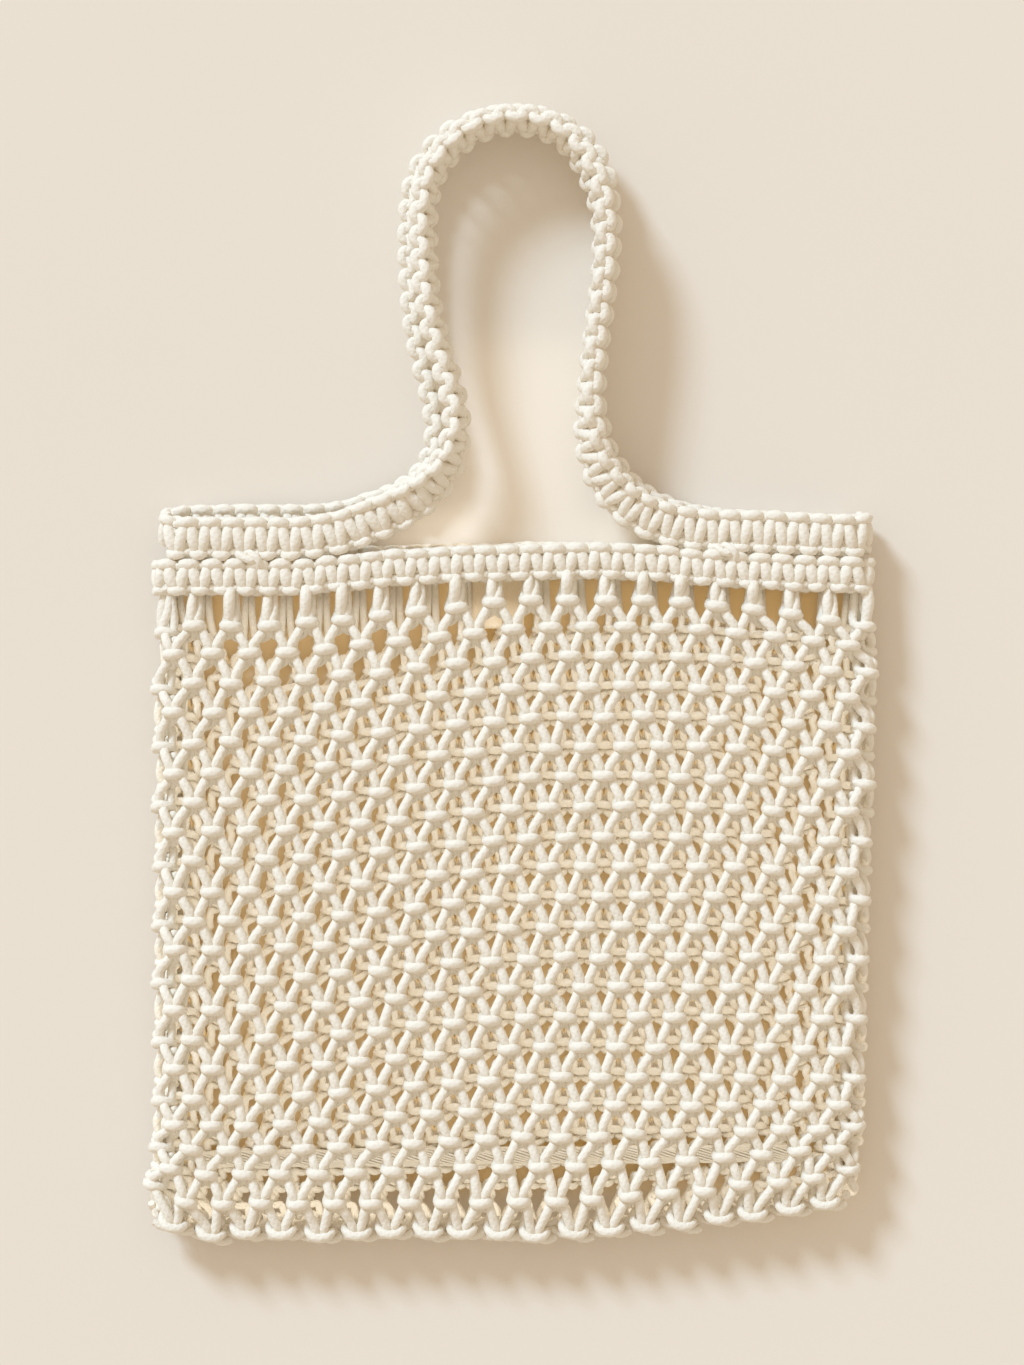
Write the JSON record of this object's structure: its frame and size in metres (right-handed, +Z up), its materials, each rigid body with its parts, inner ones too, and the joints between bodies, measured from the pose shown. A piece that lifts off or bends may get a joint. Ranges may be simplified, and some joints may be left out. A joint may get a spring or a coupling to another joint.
{
  "type": "macrame tote bag",
  "caption": "Knotted cotton net tote bag lying flat on its back, with a knotted band round the open mouth, two carry handles of knotted strap and a blank cloth label inside.",
  "frame": {"origin": "middle of the bag's outline on the floor it lies on", "axes": "+X to the right of the lying bag, +Y from the bottom seam to the handles, +Z up from the floor"},
  "size_m": [0.3708, 0.5704, 0.041],
  "materials": {
    "cotton_cord": "matt off-white braided cotton cord, knotted",
    "label_cloth": "matt pale tan woven cloth, blank"
  },
  "bodies": {
    "root": {"net_pouch": "cotton_cord", "mouth_band": "cotton_cord", "front_handle": "cotton_cord", "back_handle": "cotton_cord", "inner_label": "label_cloth"}
  },
  "joints": []
}
